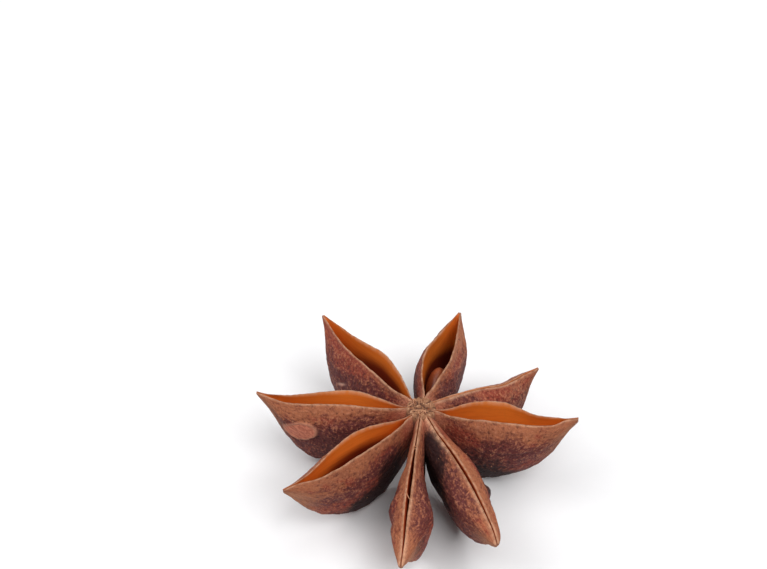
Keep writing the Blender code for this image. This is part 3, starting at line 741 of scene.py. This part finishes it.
def follicle_surface(follicle, index, looks):
    """A follicle's points in the pod's frame, in millimetres, with the fields of its finish."""
    points, fields = sections(follicle, index)
    height, masks = skin_relief(follicle, index, fields, looks)
    points = points + surface_normals(points) * height[..., None]
    masks.update(skin_masks(follicle, index, fields))
    masks.update(lip_masks(follicle, index, fields))
    masks["lining"] = follicle.lining
    skin = np.stack([fields["out"], fields["around"], np.full(height.shape, index * 7.0)], axis=-1)
    angle = math.radians(follicle.heading)
    cos, sin = math.cos(angle), math.sin(angle)
    turn = np.array([[cos, -sin, 0], [sin, cos, 0], [0, 0, 1]])
    return points @ turn.T, masks, skin


def pod_home():
    """The top of the column in the row's frame, in metres, from the husk's box and where the tips lie."""
    corners = []
    for follicle in FOLLICLES:
        angle = math.radians(follicle.heading)
        wide = follicle.width / 2 * BODIES[follicle.outline][-1][1]
        for across in (-wide, wide):
            y = follicle.sway[-1][1] + across
            corners.append((follicle.reach * math.cos(angle) - y * math.sin(angle),
                            follicle.reach * math.sin(angle) + y * math.cos(angle)))
    corners = np.array(corners)
    middle = (corners.min(0) + corners.max(0)) / 2 * MM
    low, high = HUSK_BOX
    return Vector(((low.x + high.x) / 2 - middle[0], (low.y + high.y) / 2 - middle[1], low.z + STAND * MM))


HOME = pod_home()


def keep_inside(points):
    """Points in metres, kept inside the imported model's box."""
    low, high = CAD_BOX
    return np.clip(points, np.array(low), np.array(high))


def make_object(name, points, faces, fields=None, vectors=None):
    """A smooth mesh object from arrays of points and of quads or triangles, with fields on its points."""
    mesh = bpy.data.meshes.new(name)
    mesh.vertices.add(len(points))
    mesh.vertices.foreach_set("co", np.asarray(points, np.float32).ravel())
    sizes = np.concatenate([np.full(len(f), f.shape[1]) for f in faces])
    corners = np.concatenate([f.ravel() for f in faces])
    mesh.loops.add(len(corners))
    mesh.loops.foreach_set("vertex_index", corners.astype(np.int32))
    mesh.polygons.add(len(sizes))
    starts = np.concatenate([[0], np.cumsum(sizes)[:-1]])
    mesh.polygons.foreach_set("loop_start", starts.astype(np.int32))
    mesh.polygons.foreach_set("use_smooth", np.ones(len(sizes), bool))
    for key, values in (fields or {}).items():
        layer = mesh.attributes.new(key, "FLOAT", "POINT")
        layer.data.foreach_set("value", np.asarray(values, np.float32).ravel())
    for key, values in (vectors or {}).items():
        layer = mesh.attributes.new(key, "FLOAT_VECTOR", "POINT")
        layer.data.foreach_set("vector", np.asarray(values, np.float32).ravel())
    mesh.update()
    mesh.validate()
    thing = bpy.data.objects.new(name, mesh)
    bpy.context.scene.collection.objects.link(thing)
    return thing


def grid_faces(rows, columns, flip=False):
    """Quads of a grid that is closed round its columns."""
    i, j = np.meshgrid(np.arange(rows - 1), np.arange(columns), indexing="ij")
    k = (j + 1) % columns
    quads = np.stack([i * columns + j, i * columns + k, (i + 1) * columns + k, (i + 1) * columns + j], -1)
    quads = quads.reshape(-1, 4)
    return quads[:, ::-1] if flip else quads


def fan_faces(ring, centre, flip=False):
    """Triangles from a ring of points to one point."""
    fan = np.stack([ring, np.roll(ring, -1), np.full(len(ring), centre)], -1)
    return fan[:, ::-1] if flip else fan


def closed_grid(name, points, masks, skin, flip):
    """An object through rings of points, shut at both ends by a point at the middle of its last rings."""
    rows, columns = points.shape[:2]
    ends = np.stack([points[0].mean(0), points[-1].mean(0)])
    flat = np.concatenate([points.reshape(-1, 3), ends])
    fields = {}
    for key, values in masks.items():
        values = np.broadcast_to(values, (rows, columns))
        fields[key] = np.concatenate([values.ravel(), [values[0].mean(), values[-1].mean()]])
    skins = np.concatenate([skin.reshape(-1, 3), skin[0].mean(0)[None], skin[-1].mean(0)[None]])
    first = np.arange(columns)
    faces = [
        grid_faces(rows, columns, flip),
        fan_faces(first, rows * columns, not flip),
        fan_faces(first + (rows - 1) * columns, rows * columns + 1, flip),
    ]
    world = keep_inside(flat * MM + np.array(HOME))
    return make_object(name, world, faces, fields, {"skin": skins})


def own(piece, node):
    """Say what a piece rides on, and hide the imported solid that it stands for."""
    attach(piece, "root")
    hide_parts(node)


# Finishes -----------------------------------------------------------------------------------------------


class Wire:
    """A value in a node tree that adds its own Math nodes, so that sums on values read as Python."""

    def __init__(self, finish, socket):
        self.finish = finish
        self.socket = socket

    def combined(self, operation, first, second):
        """A new wire from one Math node."""
        return self.finish.node("ShaderNodeMath", {"operation": operation}, {0: first, 1: second})

    def __add__(self, other):
        return self.combined("ADD", self, other)

    __radd__ = __add__

    def __sub__(self, other):
        return self.combined("SUBTRACT", self, other)

    def __rsub__(self, other):
        return self.combined("SUBTRACT", other, self)

    def __mul__(self, other):
        return self.combined("MULTIPLY", self, other)

    __rmul__ = __mul__


class Finish:
    """A material under construction."""

    def __init__(self, name):
        self.material = bpy.data.materials.new(name)
        self.material.use_nodes = True
        self.tree = self.material.node_tree
        self.shader = self.tree.nodes["Principled BSDF"]

    def node(self, kind, settings=None, sockets=None, output=0):
        """Add a node, with its settings first and then its sockets, and hand back one output."""
        made = self.tree.nodes.new(kind)
        for key, value in (settings or {}).items():
            setattr(made, key, value)
        for key, value in (sockets or {}).items():
            self.feed(made.inputs[key], value)
        return Wire(self, made.outputs[output])

    def feed(self, socket, value):
        """Link a wire to a socket, or set the socket's own value."""
        if isinstance(value, Wire):
            self.tree.links.new(value.socket, socket)
        elif socket.type == "RGBA":
            socket.default_value = (*value, 1.0)
        else:
            socket.default_value = value

    def field(self, name):
        """A number stored on the mesh's points."""
        return self.node("ShaderNodeAttribute", {"attribute_name": name}, output="Fac")

    def skin(self, stretch):
        """The skin's own coordinates, in millimetres, scaled along and across the follicle."""
        place = self.node("ShaderNodeAttribute", {"attribute_name": "skin"}, output="Vector")
        return self.node("ShaderNodeVectorMath", {"operation": "MULTIPLY"}, {0: place, 1: stretch})

    def noise(self, place, scale, detail=2.0, rough=0.5, twist=0.0):
        """Noise between 0 and 1."""
        return self.node("ShaderNodeTexNoise", {"noise_dimensions": "3D"},
                         {"Vector": place, "Scale": scale, "Detail": detail, "Roughness": rough,
                          "Distortion": twist}, output="Fac")

    def step(self, value, low, high, to_low=0.0, to_high=1.0):
        """A smooth step from one number to another."""
        return self.node("ShaderNodeMapRange", {"interpolation_type": "SMOOTHSTEP"},
                         {"Value": value, "From Min": low, "From Max": high, "To Min": to_low,
                          "To Max": to_high})

    def mix(self, share, first, second):
        """Mix two colours."""
        return self.node("ShaderNodeMix", {"data_type": "RGBA"}, {0: share, 6: first, 7: second}, output=2)

    def relief(self, height, distance, strength):
        """A bump from a height, in metres."""
        return self.node("ShaderNodeBump", None,
                         {"Strength": strength, "Distance": distance, "Height": height}, output="Normal")

    def close(self, colour, roughness, sheen, normal=None):
        """Feed the shader and hand back the material."""
        self.feed(self.shader.inputs["Base Color"], colour)
        self.feed(self.shader.inputs["Roughness"], roughness)
        self.shader.inputs["Specular IOR Level"].default_value = sheen
        if normal is not None:
            self.feed(self.shader.inputs["Normal"], normal)
        return self.material


def skin_colour(f, looks, blotch, grain):
    """Dry mottled skin, with granules and streaks that run along the follicle."""
    fibre = f.noise(f.skin((0.8, 2.4, 1.0)), 1.0, 3.0, 0.55, 0.3)
    cloud = f.noise(f.skin((1.1, 1.4, 1.0)), 1.0, 3.0, 0.55)
    haze = f.noise(f.skin((3.3, 4.2, 1.6)), 1.0, 2.0, 0.6)
    fleck = f.noise(f.skin((2.8, 3.2, 1.0)), 1.2, 1.0)
    relief = f.field("relief") * 0.7 + (blotch - 0.5) * 2.8 + (grain - 0.5) * 3.6
    clear = 1.0 - f.field("black")

    # The broad zones, from the lips down: paler near the lips and darker low on the flanks, partly the
    # skin's own colours and partly painted light and shade.
    tan = f.field("tan") + (fibre - 0.5) * 1.6 + (blotch - 0.5) * 0.8
    skin = f.mix(f.step(tan, 0.0, 1.0), looks.russet, looks.tan)
    red = f.field("red") + (cloud - 0.5)
    skin = f.mix(f.step(red, 0.05, 1.0, 0.0, 0.85), skin, looks.red)
    plum = f.field("plum") - (cloud - 0.5) * 0.8 - (fibre - 0.5) * 1.2 - (blotch - 0.5) * 0.6
    skin = f.mix(f.step(plum, -0.05, 0.95, 0.0, 0.92), skin, looks.plum)
    # Painted shadow where the follicles shade each other and the floor.
    black = f.field("black") - (blotch - 0.5) - (fibre - 0.5) * 0.8
    skin = f.mix(f.step(black, 0.0, 1.0, 0.0, 0.96), skin, looks.black)

    # Granules and wrinkles: a pale colour on the crests, partly dust and partly painted highlight, and
    # painted shade in the furrows.
    light = f.step(relief, 0.05, 1.1, 0.0, 0.72) * (1.0 - f.field("black") * 0.95)
    skin = f.mix(light, skin, looks.dust)
    dark = f.step(relief, -0.05, -1.1, 0.0, 0.88) * (1.0 - f.field("tan") * 0.45)
    skin = f.mix(dark, skin, looks.furrow_shade)
    bloom = f.step(haze, 0.52, 0.68, 0.0, 0.40) * (0.20 + f.field("plum") * 0.60) * clear
    skin = f.mix(bloom, skin, looks.haze)
    skin = f.mix(f.step(haze, 0.48, 0.32, 0.0, 0.50) * f.field("tan") * clear, skin, looks.glow)
    skin = f.mix(f.field("dry") * f.step(haze, 0.35, 0.60, 0.15, 0.60), skin, looks.fleck)
    # Partly painted light on the skin beside the hub.
    skin = f.mix(f.field("root") * f.step(grain, 0.30, 0.60, 0.15, 0.85), skin, looks.root)
    # Rare pale specks, partly dust and partly painted glints.
    skin = f.mix(f.step(fleck, 0.73, 0.80, 0.0, 0.8), skin, looks.fleck)

    # The places that only one follicle has.
    skin = f.mix(f.field("net"), skin, looks.fleck)
    scar = f.mix(f.step(blotch, 0.3, 0.7), looks.scar, looks.scar_pale)
    skin = f.mix(f.field("scar"), skin, scar)
    skin = f.mix(f.field("scar_edge"), skin, looks.scar_edge)
    return f.mix(f.field("nick"), skin, looks.nick)


def lining_colour(f, looks):
    """The smooth orange wall of the cavity, with faint streaks, and painted shade far down, on walls and in
    cavities that lie in shade, and in a narrow suture.
    """
    streak = f.noise(f.skin((0.4, 3.0, 1.0)), 1.0, 3.0, 0.6)
    lining = f.mix(f.step(streak, 0.35, 0.75, 0.0, 0.25), looks.lining, looks.lining_streak_and_shade)
    # Painted shade: a lining below 1 dulls the whole wall of that cavity.
    lining = f.mix(1.0 - f.field("lining"), lining, looks.lining_streak_and_shade)
    # Painted shade far down and on walls that lie in shade.
    shade = f.field("shade") + (streak - 0.5) * 0.4 * f.field("shade")
    lining = f.mix(f.step(shade, 0.05, 0.95), lining, looks.shade)
    # Painted shade inside a narrow suture.
    return f.mix(f.field("slit"), lining, looks.slit)


def husk_finish(looks):
    """Dry skin outside, the orange lining inside, and a thin pale rim between them."""
    f = Finish("husk_skin")
    blotch = f.noise(f.skin((2.3, 2.9, 1.0)), 1.0, 2.0, 0.5, 0.3)
    grain = f.noise(f.skin((4.6, 5.6, 1.0)), 1.0, 2.0, 0.6)
    inside = f.field("inside")
    colour = f.mix(inside, skin_colour(f, looks, blotch, grain), lining_colour(f, looks))
    # The pale rim is partly its own dry edge and partly a painted highlight.
    rim = f.field("rim") * f.step(grain, 0.30, 0.55, 0.60, 1.0) * (1.0 - f.field("slit"))
    colour = f.mix(rim, colour, looks.rim)

    roughness = 0.68 - inside * 0.22 + (blotch - 0.5) * 0.2
    height = (blotch + grain * 0.5) * (1.0 - inside * 0.9)
    normal = f.relief(height, 0.16 * MM, 0.9)
    return f.close(colour, roughness, 0.18, normal)


def hub_finish(looks):
    """Coarse dry fibre with pale knobs and painted shade in the cracks between them."""
    f = Finish("hub_fibre")
    grain = f.noise(f.skin((5.0, 5.0, 5.0)), 1.2, 3.0, 0.6)
    relief = f.field("relief") + (grain - 0.5) * 1.4
    colour = f.mix(f.step(grain, 0.3, 0.7), looks.hub, looks.hub_dull)
    colour = f.mix(f.step(relief, 0.1, 1.0, 0.0, 0.8), colour, looks.hub_pale)
    # Painted shade in the cracks.
    colour = f.mix(f.step(relief, 0.0, -0.9, 0.0, 0.9), colour, looks.hub_crack_shade)
    colour = f.mix(f.field("plum"), colour, looks.plum)
    normal = f.relief(grain, 0.12 * MM, 0.8)
    return f.close(colour, 0.72 + (grain - 0.5) * 0.2, 0.3, normal)


def fibre_finish(looks):
    """Pale dry strands."""
    f = Finish("pale_strand")
    grain = f.noise(f.skin((6.0, 6.0, 6.0)), 1.0, 2.0, 0.5)
    colour = f.mix(grain, looks.rim, looks.strand)
    return f.close(colour, 0.6 + (grain - 0.5) * 0.2, 0.4)


def seed_finish(looks):
    """A hard brown seed coat, a little dusty."""
    f = Finish("seed_coat")
    cloud = f.noise(f.skin((1.0, 1.0, 1.0)), 0.9, 3.0, 0.55)
    mottle = f.noise(f.skin((1.0, 1.0, 1.0)), 5.0, 3.0, 0.6)
    end = f.step(f.field("along") + (cloud - 0.5) * 0.8, 0.2, 0.75)
    colour = f.mix(end, looks.coat_dark, looks.coat)
    colour = f.mix(f.step(mottle, 0.45, 0.75, 0.0, 0.35), colour, looks.dust)
    normal = f.relief(mottle, 0.03 * MM, 0.5)
    return f.close(colour, 0.38 + (cloud - 0.5) * 0.2, 0.5, normal)


def floor_finish(looks):
    """A plain pale floor with the faintest tooth."""
    f = Finish("pale_floor")
    place = f.node("ShaderNodeTexCoord", output="Object")
    tooth = f.noise(place, 900.0, 2.0)
    light = looks.floor
    colour = f.mix(tooth, light, tuple(0.985 * v for v in light))
    return f.close(colour, 0.75, 0.2)


# Operators ----------------------------------------------------------------------------------------------


class POD_OT_follicles(bpy.types.Operator):
    """Make the eight follicles, each split along its suture and wrinkled outside"""

    bl_idname = "pod.follicles"
    bl_label = "Follicles"

    def execute(self, context):
        looks = context.scene.pod_husk
        finish = husk_finish(looks)
        for index, follicle in enumerate(FOLLICLES):
            points, masks, skin = follicle_surface(follicle, index, looks)
            piece = closed_grid("follicle_" + follicle.name, points, masks, skin, flip=False)
            piece.data.materials.append(finish)
            own(piece, "husk")
        return {"FINISHED"}


class POD_OT_column(bpy.types.Operator):
    """Make the central column, with its dished fibrous hub on top and the stalk's scar below"""

    bl_idname = "pod.column"
    bl_label = "Column"

    rows = 150
    sides = 160
    # Radius and height of the outline in millimetres, from the middle of the hub round to the stalk's scar.
    profile = ((0.02, -0.05), (0.5, -0.04), (1.0, -0.03), (1.4, -0.04), (1.65, -0.16), (1.85, -0.8),
               (2.0, -3.0), (2.0, -5.5), (1.6, -6.9), (1.2, -7.0), (1.08, -7.6), (0.9, -7.68),
               (0.02, -7.45))

    def execute(self, context):
        looks = context.scene.pod_husk
        along = np.linspace(0, 1, len(self.profile))
        at = np.linspace(0, 1, self.rows) ** 1.2
        radius = np.interp(at, along, [p[0] for p in self.profile])[:, None]
        up = np.interp(at, along, [p[1] for p in self.profile])[:, None]
        angle = np.linspace(0, 2 * math.pi, self.sides, endpoint=False)[None, :]
        x, y = radius * np.cos(angle), radius * np.sin(angle)
        top = ramp(-1.2, -0.2, up)
        knobs = np.maximum(0, SKIN(x / 0.34, y / 0.34, up / 0.5))
        cracks = ridged(SKIN(x / 0.75, y / 0.75, up + 9))
        rough = 0.16 * knobs - 0.10 * np.maximum(0, cracks) + 0.05 * SKIN(x / 0.16, y / 0.16, 2.0)
        scar = 0.10 * ramp(-6.8, -7.4, up) * SKIN(x / 0.25, y / 0.25, 5.0)
        body = 0.10 * (1 - top) * SKIN(angle * 3.0, up / 1.5, 3.0) * ramp(0.1, 0.5, radius)
        wide = radius + body
        points = np.stack([wide * np.cos(angle), wide * np.sin(angle), up + rough * top + scar], -1)
        masks = {
            "relief": np.clip(9.0 * rough * top, -1, 1),
            "plum": 0.75 * (1 - top) * ramp(-7.3, -6.6, up),
        }
        skin = np.stack(np.broadcast_arrays(x, y, up), -1)
        piece = closed_grid("column", points, masks, skin, flip=True)
        piece.data.materials.append(hub_finish(looks))
        own(piece, "husk")
        return {"FINISHED"}


def strand(path, thickness, sides=6):
    """Rings of a thin tapered strand along a path of points, in millimetres."""
    path = np.asarray(path, float)
    ahead = np.gradient(path, axis=0)
    ahead = ahead / np.linalg.norm(ahead, axis=1, keepdims=True)
    across = np.cross(ahead, [0.0, 0.0, 1.0])
    across = across / np.maximum(np.linalg.norm(across, axis=1, keepdims=True), 1e-6)
    upward = np.cross(across, ahead)
    taper = thickness / 2 * (0.35 + 0.65 * np.sin(np.linspace(0.15, math.pi - 0.15, len(path))))
    angle = np.linspace(0, 2 * math.pi, sides, endpoint=False)
    ring = across[:, None, :] * np.cos(angle)[:, None] + upward[:, None, :] * np.sin(angle)[:, None]
    return path[:, None, :] + ring * taper[:, None, None]


class POD_OT_fibres(bpy.types.Operator):
    """Make the loose fibres of the hub and those that bridge the narrow suture of the front follicle"""

    bl_idname = "pod.fibres"
    bl_label = "Fibres"

    count = 22
    steps = 9

    def hub_paths(self):
        """Short bowed strands that lie round the hub and point outwards."""
        rng = np.random.default_rng(5)
        t = np.linspace(0, 1, self.steps)
        for _ in range(self.count):
            heading = rng.uniform(0, 2 * math.pi)
            start = rng.uniform(0.3, 1.1)
            length = rng.uniform(0.3, 0.8)
            swing = rng.uniform(-0.8, 0.8)
            lift = rng.uniform(0.02, 0.10)
            radius = start + length * t
            angle = heading + swing * t
            up = -0.04 + lift * np.sin(math.pi * t) - 0.12 * np.maximum(0, radius - 1.0)
            path = np.stack([radius * np.cos(angle), radius * np.sin(angle), up], -1)
            yield path, rng.uniform(0.04, 0.09)

    def slit_paths(self):
        """Strands across the suture of the front follicle, at two places."""
        front = next(f for f in FOLLICLES if f.name == "c")
        turn = math.radians(front.heading)
        t = np.linspace(-1, 1, self.steps)
        for out, slant, sag in ((5.6, 0.25, 0.10), (5.95, -0.15, 0.16), (12.4, 0.5, 0.12)):
            along = (out - ROOT) / (front.reach - ROOT)
            across = 0.26 * t
            forward = out + slant * t
            up = -front.drop * along**1.5 - 0.02 - sag * (1 - t**2)
            x = forward * math.cos(turn) - across * math.sin(turn)
            y = forward * math.sin(turn) + across * math.cos(turn)
            yield np.stack([x, y, up], -1), 0.09

    def execute(self, context):
        looks = context.scene.pod_husk
        points, faces, offset = [], [], 0
        for path, thickness in [*self.hub_paths(), *self.slit_paths()]:
            rings = strand(path, thickness)
            rows, columns = rings.shape[:2]
            ends = np.stack([path[0], path[-1]])
            points.append(np.concatenate([rings.reshape(-1, 3), ends]))
            first = np.arange(columns)
            faces.append((grid_faces(rows, columns) + offset,
                          fan_faces(first, rows * columns, True) + offset,
                          fan_faces(first + (rows - 1) * columns, rows * columns + 1) + offset))
            offset += rows * columns + 2
        flat = np.concatenate(points)
        quads = np.concatenate([f[0] for f in faces])
        fans = np.concatenate([np.concatenate(f[1:]) for f in faces])
        world = keep_inside(flat * MM + np.array(HOME))
        piece = make_object("fibres", world, [quads, fans], None, {"skin": flat})
        piece.data.materials.append(fibre_finish(looks))
        own(piece, "husk")
        return {"FINISHED"}


class POD_OT_seed(bpy.types.Operator):
    """Make the one flattened seed, on edge in the back follicle"""

    bl_idname = "pod.seed"
    bl_label = "Seed"

    rows = 72
    sides = 96

    def execute(self, context):
        home = next(f for f in FOLLICLES if f.name == SEED_FOLLICLE)
        turn = np.linspace(0.02, math.pi - 0.02, self.rows)[:, None]
        angle = np.linspace(0, 2 * math.pi, self.sides, endpoint=False)[None, :]
        x = -np.cos(turn)
        y = np.sin(turn) * np.cos(angle)
        z = np.sin(turn) * np.sin(angle)
        taper = 1 + 0.12 * x
        dimple = 0.02 * SKIN(x * 2.2, y * 2.0, z * 2.0) - 0.05 * bump(x, -0.97, 0.10)
        size = 1 + dimple
        points = np.stack([SEED_LENGTH / 2 * x * size, SEED_THICKNESS / 2 * taper * y * size,
                           SEED_HEIGHT / 2 * taper * z * size], -1) * SEED_FIT
        place_along = np.array([SEED_OUT / home.reach])
        bow, sway = curve_values(home.bow, place_along)[0], curve_values(home.sway, place_along)[0]
        middle = bow + (sway - bow) * math.exp(-SEED_BELOW / LIP_SWAY)
        across = middle + SEED_ASIDE + math.sin(math.radians(home.lean)) * SEED_BELOW
        place = (Matrix.Rotation(math.radians(home.heading), 4, "Z")
                 @ Matrix.Translation(Vector((SEED_OUT, across, -SEED_BELOW)))
                 @ Matrix.Rotation(math.radians(-SEED_PITCH), 4, "Y"))
        matrix = np.array(place)
        placed = points @ matrix[:3, :3].T + matrix[:3, 3]
        masks = {"along": (x + 1) / 2}
        piece = closed_grid("seed_coat", placed, masks, points, flip=True)
        piece.data.materials.append(seed_finish(context.scene.pod_seed))
        own(piece, "seed")
        return {"FINISHED"}


class POD_OT_stage(bpy.types.Operator):
    """Make the pale floor, the soft lights and the camera"""

    bl_idname = "pod.stage"
    bl_label = "Stage"

    def floor(self, looks):
        """A wide level floor that the pod rests on."""
        corners = FLOOR_REACH * np.array([(-1, -1, 0), (1, -1, 0), (1, 1, 0), (-1, 1, 0)])
        floor = make_object("floor", corners, [np.array([[0, 1, 2, 3]])])
        floor.data.materials.append(floor_finish(looks))

    def light(self, name, power, size, place):
        """A square soft light that faces the pod."""
        data = bpy.data.lights.new(name, "AREA")
        data.shape = "SQUARE"
        data.size = size
        data.energy = power
        lamp = bpy.data.objects.new(name, data)
        lamp.location = place
        lamp.rotation_euler = (-Vector(place)).to_track_quat("-Z", "Y").to_euler()
        bpy.context.scene.collection.objects.link(lamp)

    def camera(self, looks):
        """A long lens that looks down on the pod, which stands right of and below the picture's middle."""
        data = bpy.data.cameras.new("camera")
        data.lens = looks.lens
        data.sensor_width = 36.0
        data.clip_start = 0.01
        camera = bpy.data.objects.new("camera", data)
        height = looks.height
        back = Vector((0, -math.cos(height), math.sin(height)))
        camera.location = HOME + looks.distance * back

        # Turn it so that the hub lies right of and below the middle by the given shares.
        focal = data.lens / data.sensor_width
        ray = Vector((looks.right, -looks.below, -focal)).normalized()
        lift = math.atan2(looks.below, focal)
        flat = math.hypot(looks.below, focal) / Vector((looks.right, looks.below, focal)).length
        tilt = math.acos(math.sin(height) / flat) + lift
        swing = math.atan2(ray.x, ray.y * math.cos(tilt) - ray.z * math.sin(tilt))
        camera.rotation_euler = (tilt, 0.0, swing)
        bpy.context.scene.collection.objects.link(camera)
        bpy.context.scene.camera = camera

    def execute(self, context):
        looks = context.scene.pod_stage
        self.floor(looks)
        for name, (size, place) in LAMPS.items():
            self.light(name, getattr(looks, name), size, place)
        world = bpy.data.worlds.new("studio")
        world.use_nodes = True
        world.node_tree.nodes["Background"].inputs["Color"].default_value = (1.0, 1.0, 1.0, 1.0)
        world.node_tree.nodes["Background"].inputs["Strength"].default_value = looks.sky
        context.scene.world = world
        context.scene.view_settings.view_transform = "Standard"
        self.camera(looks)
        return {"FINISHED"}


class POD_PT_panel(bpy.types.Panel):
    """Lists the pod's pieces and settings"""

    bl_idname = "POD_PT_panel"
    bl_label = "Star anise pod"
    bl_space_type = "VIEW_3D"
    bl_region_type = "UI"
    bl_category = "Pod"

    def draw(self, context):
        for name in ("pod_husk", "pod_seed", "pod_stage"):
            box = self.layout.box()
            looks = getattr(context.scene, name)
            for key in looks.__annotations__:
                box.prop(looks, key)
        for operator in OPERATORS:
            self.layout.operator(operator.bl_idname)


OPERATORS = (POD_OT_follicles, POD_OT_column, POD_OT_fibres, POD_OT_seed, POD_OT_stage)
CLASSES = (HuskLooks, SeedLooks, StageLooks, *OPERATORS, POD_PT_panel)


def register():
    for cls in CLASSES:
        bpy.utils.register_class(cls)
    bpy.types.Scene.pod_husk = bpy.props.PointerProperty(type=HuskLooks)
    bpy.types.Scene.pod_seed = bpy.props.PointerProperty(type=SeedLooks)
    bpy.types.Scene.pod_stage = bpy.props.PointerProperty(type=StageLooks)


def unregister():
    del bpy.types.Scene.pod_husk
    del bpy.types.Scene.pod_seed
    del bpy.types.Scene.pod_stage
    for cls in reversed(CLASSES):
        bpy.utils.unregister_class(cls)


def main():
    register()
    bpy.ops.pod.follicles()
    bpy.ops.pod.column()
    bpy.ops.pod.fibres()
    bpy.ops.pod.seed()
    bpy.ops.pod.stage()


if __name__ == "__main__":
    main()
